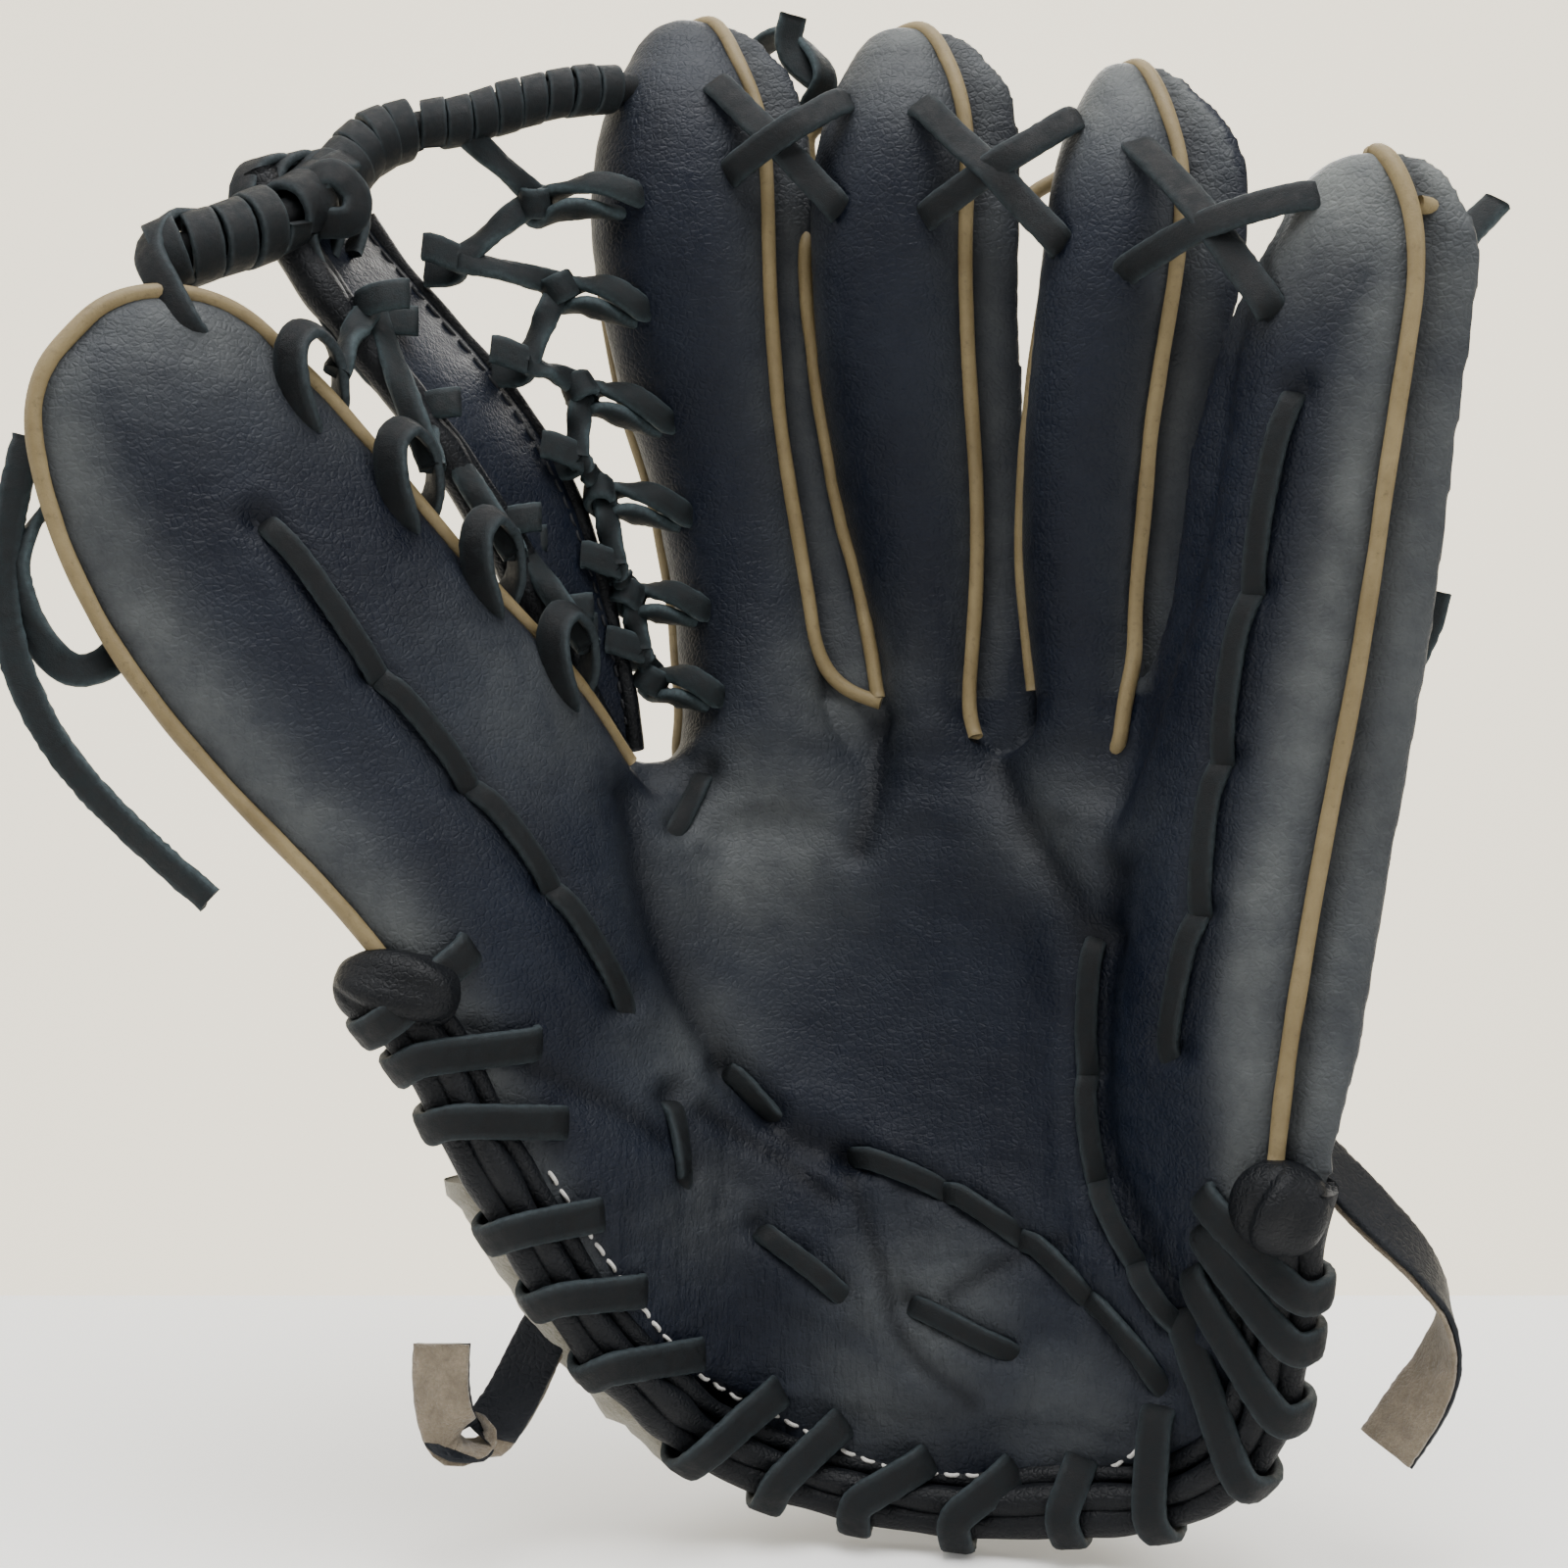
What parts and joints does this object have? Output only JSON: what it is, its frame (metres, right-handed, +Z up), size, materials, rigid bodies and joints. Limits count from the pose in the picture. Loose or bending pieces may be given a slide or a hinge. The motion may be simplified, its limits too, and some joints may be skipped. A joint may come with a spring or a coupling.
{
  "type": "fielder's baseball glove",
  "caption": "Left-hand leather fielder's glove with padded stalls, a laced lattice web, whipped heel rolls and a strapped wrist, whose thumb, web and little-finger side fold shut.",
  "frame": {"origin": "middle of the wrist opening, where the hand goes in", "axes": "+Z up the fingers, the palm faces -Y, +X towards the little finger"},
  "size_m": [0.2757, 0.1164, 0.3156],
  "materials": {
    "binding_leather": "black rolled leather binding",
    "cream_fleece": "cream fleece",
    "lace_leather": "black rawhide lace with a suede flesh side",
    "lining_leather": "brown lining leather",
    "shell_leather": "black navy smooth grain, worn grey-green at the high spots",
    "strap_leather": "black strap leather, tan suede on its flesh side",
    "tan_welt_leather": "tan beige welting",
    "wool_felt": "wool felt padding"
  },
  "bodies": {
    "hand": {"crease_lace": "lace_leather", "hand_back": "shell_leather", "heel_lace_middle": "lace_leather", "heel_roll_middle": "binding_leather", "heel_shell": "shell_leather", "index_back": "shell_leather", "index_front": "shell_leather", "index_lining": "lining_leather", "index_middle_lace": "lace_leather", "index_web_lace": "lace_leather", "index_welt": "tan_welt_leather", "middle_back": "shell_leather", "middle_front": "shell_leather", "middle_lining": "lining_leather", "middle_ring_lace": "lace_leather", "middle_welt": "tan_welt_leather", "palm_felt": "wool_felt", "palm_lining": "lining_leather", "palm_shell": "shell_leather", "ring_back": "shell_leather", "ring_front": "shell_leather", "ring_lining": "lining_leather", "ring_little_lace": "lace_leather", "ring_welt": "tan_welt_leather", "strap_fleece": "cream_fleece", "strap_patch": "shell_leather", "wrist_strap": "shell_leather"},
    "thumb": {"heel_knob_thumb": "binding_leather", "heel_lace_thumb": "lace_leather", "heel_roll_thumb": "binding_leather", "thumb_back": "shell_leather", "thumb_front": "shell_leather", "thumb_lace_tail": "lace_leather", "thumb_lining": "lining_leather", "thumb_loop_strap": "strap_leather", "thumb_panel_lace": "lace_leather", "thumb_web_lace": "lace_leather", "thumb_welt": "tan_welt_leather"},
    "web": {"crown_core": "lace_leather", "crown_wrap_index": "lace_leather", "crown_wrap_thumb": "lace_leather", "web_binding_left": "binding_leather", "web_binding_right": "binding_leather", "web_lattice_lace": "lace_leather", "web_post_back": "shell_leather", "web_post_front": "shell_leather", "web_post_lace": "lace_leather"},
    "little_finger": {"heel_knob_little": "binding_leather", "heel_lace_little": "lace_leather", "heel_roll_little": "binding_leather", "little_back": "shell_leather", "little_front": "shell_leather", "little_lace_end_lower": "lace_leather", "little_lace_end_upper": "lace_leather", "little_lining": "lining_leather", "little_loop_strap": "strap_leather", "little_panel_lace": "lace_leather", "little_welt": "tan_welt_leather"}
  },
  "joints": [
    {"name": "thumb_fold", "type": "hinge", "parent": "hand", "child": "thumb", "pos_m": [-0.012, -0.028, 0], "axis": [-0.1404, 0.17, 0.9754], "range_deg": [0, 25]},
    {"name": "web_fold", "type": "hinge", "parent": "hand", "child": "web", "pos_m": [-0.012, -0.028, 0], "axis": [-0.1404, 0.17, 0.9754], "range_deg": [0, 25]},
    {"name": "little_finger_fold", "type": "hinge", "parent": "hand", "child": "little_finger", "pos_m": [0.074, -0.044, 0.004], "axis": [0.0603, -0.1206, -0.9909], "range_deg": [0, 25]}
  ],
  "couplings": [
    {"joint": "web_fold", "follows": "thumb_fold", "ratio": 1}
  ]
}
